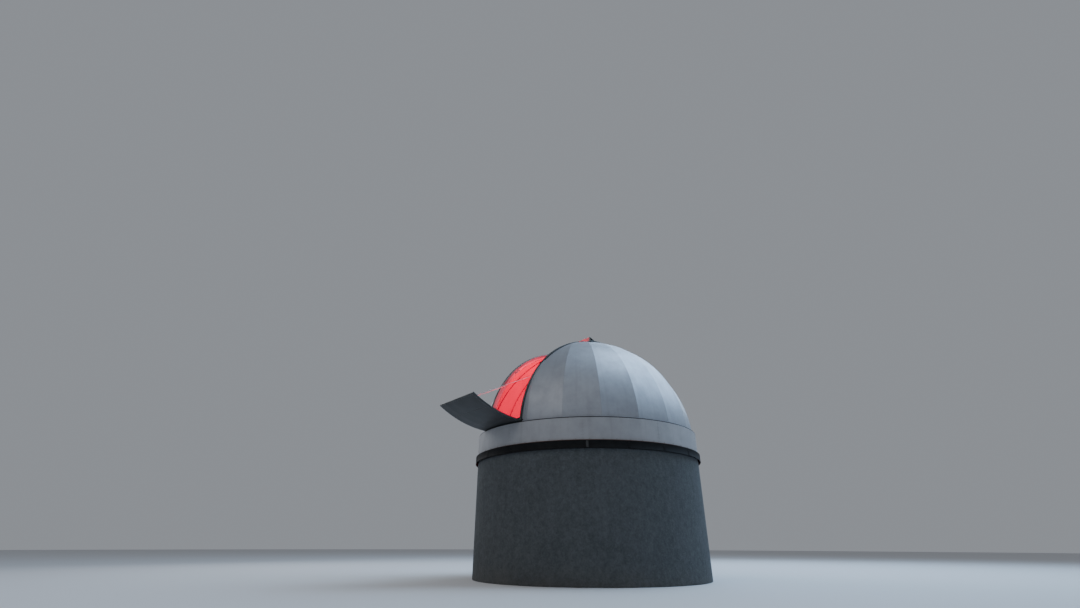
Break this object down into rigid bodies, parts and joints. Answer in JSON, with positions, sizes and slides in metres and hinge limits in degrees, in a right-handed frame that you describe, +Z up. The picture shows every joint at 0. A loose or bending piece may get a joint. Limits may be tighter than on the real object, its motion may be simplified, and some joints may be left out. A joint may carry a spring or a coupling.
{
  "type": "observatory dome",
  "caption": "Round masonry observatory with a turning metal dome, its slit open: a hinged lower flap held by stays and an upper shutter run back over the top",
  "frame": {"origin": "on the dome's turning axis, at ground level, under the floor slab", "axes": "+Z up along the turning axis; the slit and its flap face -Y at rest; +X to the right seen from the slit"},
  "size_m": [6.21, 7.4409, 6.3776],
  "materials": {
    "wall_render": "rough painted render",
    "floor_concrete": "floated concrete",
    "door_paint": "satin paint",
    "track_steel": "dark primer",
    "skirt_rubber": "matt black rubber",
    "dome_metal": "weathered silver paint",
    "arch_metal": "near-black paint",
    "rail_metal": "greased primer",
    "shutter_metal": "weathered silver paint",
    "flap_metal": "dull dark grey paint",
    "stay_wire": "galvanised strand"
  },
  "bodies": {
    "building": {"wall_1": "wall_render", "wall_2": "wall_render", "wall_3": "wall_render", "wall_4": "wall_render", "wall_5": "wall_render", "wall_over_door": "wall_render", "floor_slab": "floor_concrete", "door_frame": "door_paint", "door_leaf": "door_paint", "wall_plate": "track_steel"},
    "dome": {"base_ring": "track_steel", "weather_skirt": "skirt_rubber", "base_band": "dome_metal", "shell_ring": "dome_metal", "gore_left_1": "dome_metal", "gore_left_2": "dome_metal", "gore_left_3": "dome_metal", "gore_left_4": "dome_metal", "gore_left_5": "dome_metal", "gore_left_6": "dome_metal", "gore_left_7": "dome_metal", "gore_left_8": "dome_metal", "gore_right_1": "dome_metal", "gore_right_2": "dome_metal", "gore_right_3": "dome_metal", "gore_right_4": "dome_metal", "gore_right_5": "dome_metal", "gore_right_6": "dome_metal", "gore_right_7": "dome_metal", "gore_right_8": "dome_metal", "arch_left": "arch_metal", "arch_right": "arch_metal", "rail_left": "rail_metal", "rail_right": "rail_metal", "slit_head": "dome_metal", "back_panel": "dome_metal", "flap_sill": "arch_metal"},
    "shutter": {"shutter_skin": "shutter_metal", "shutter_frame": "shutter_metal", "shutter_lip": "shutter_metal"},
    "flap": {"flap_skin": "flap_metal", "flap_frame": "flap_metal"},
    "stays": {"stay_left": "stay_wire", "stay_right": "stay_wire"}
  },
  "joints": [
    {"name": "dome_turn", "type": "hinge", "parent": "building", "child": "dome", "pos_m": [0, 0, 2.93], "axis": [0, 0, 1], "continuous": true},
    {"name": "shutter_run", "type": "hinge", "parent": "dome", "child": "shutter", "pos_m": [0, 0, 3.36], "axis": [1, 0, 0], "range_deg": [-20, 47.3]},
    {"name": "flap_swing", "type": "hinge", "parent": "dome", "child": "flap", "pos_m": [0, -2.87998, 3.57503], "axis": [-1, 0, 0], "range_deg": [0, 91.6]},
    {"name": "stay_draw", "type": "hinge", "parent": "flap", "child": "stays", "pos_m": [0, -4.2199, 3.97664], "axis": [-1, 0, 0], "range_deg": [0, 32.3]}
  ],
  "couplings": [
    {"joint": "stay_draw", "follows": "flap_swing", "ratio": 0.35079}
  ]
}
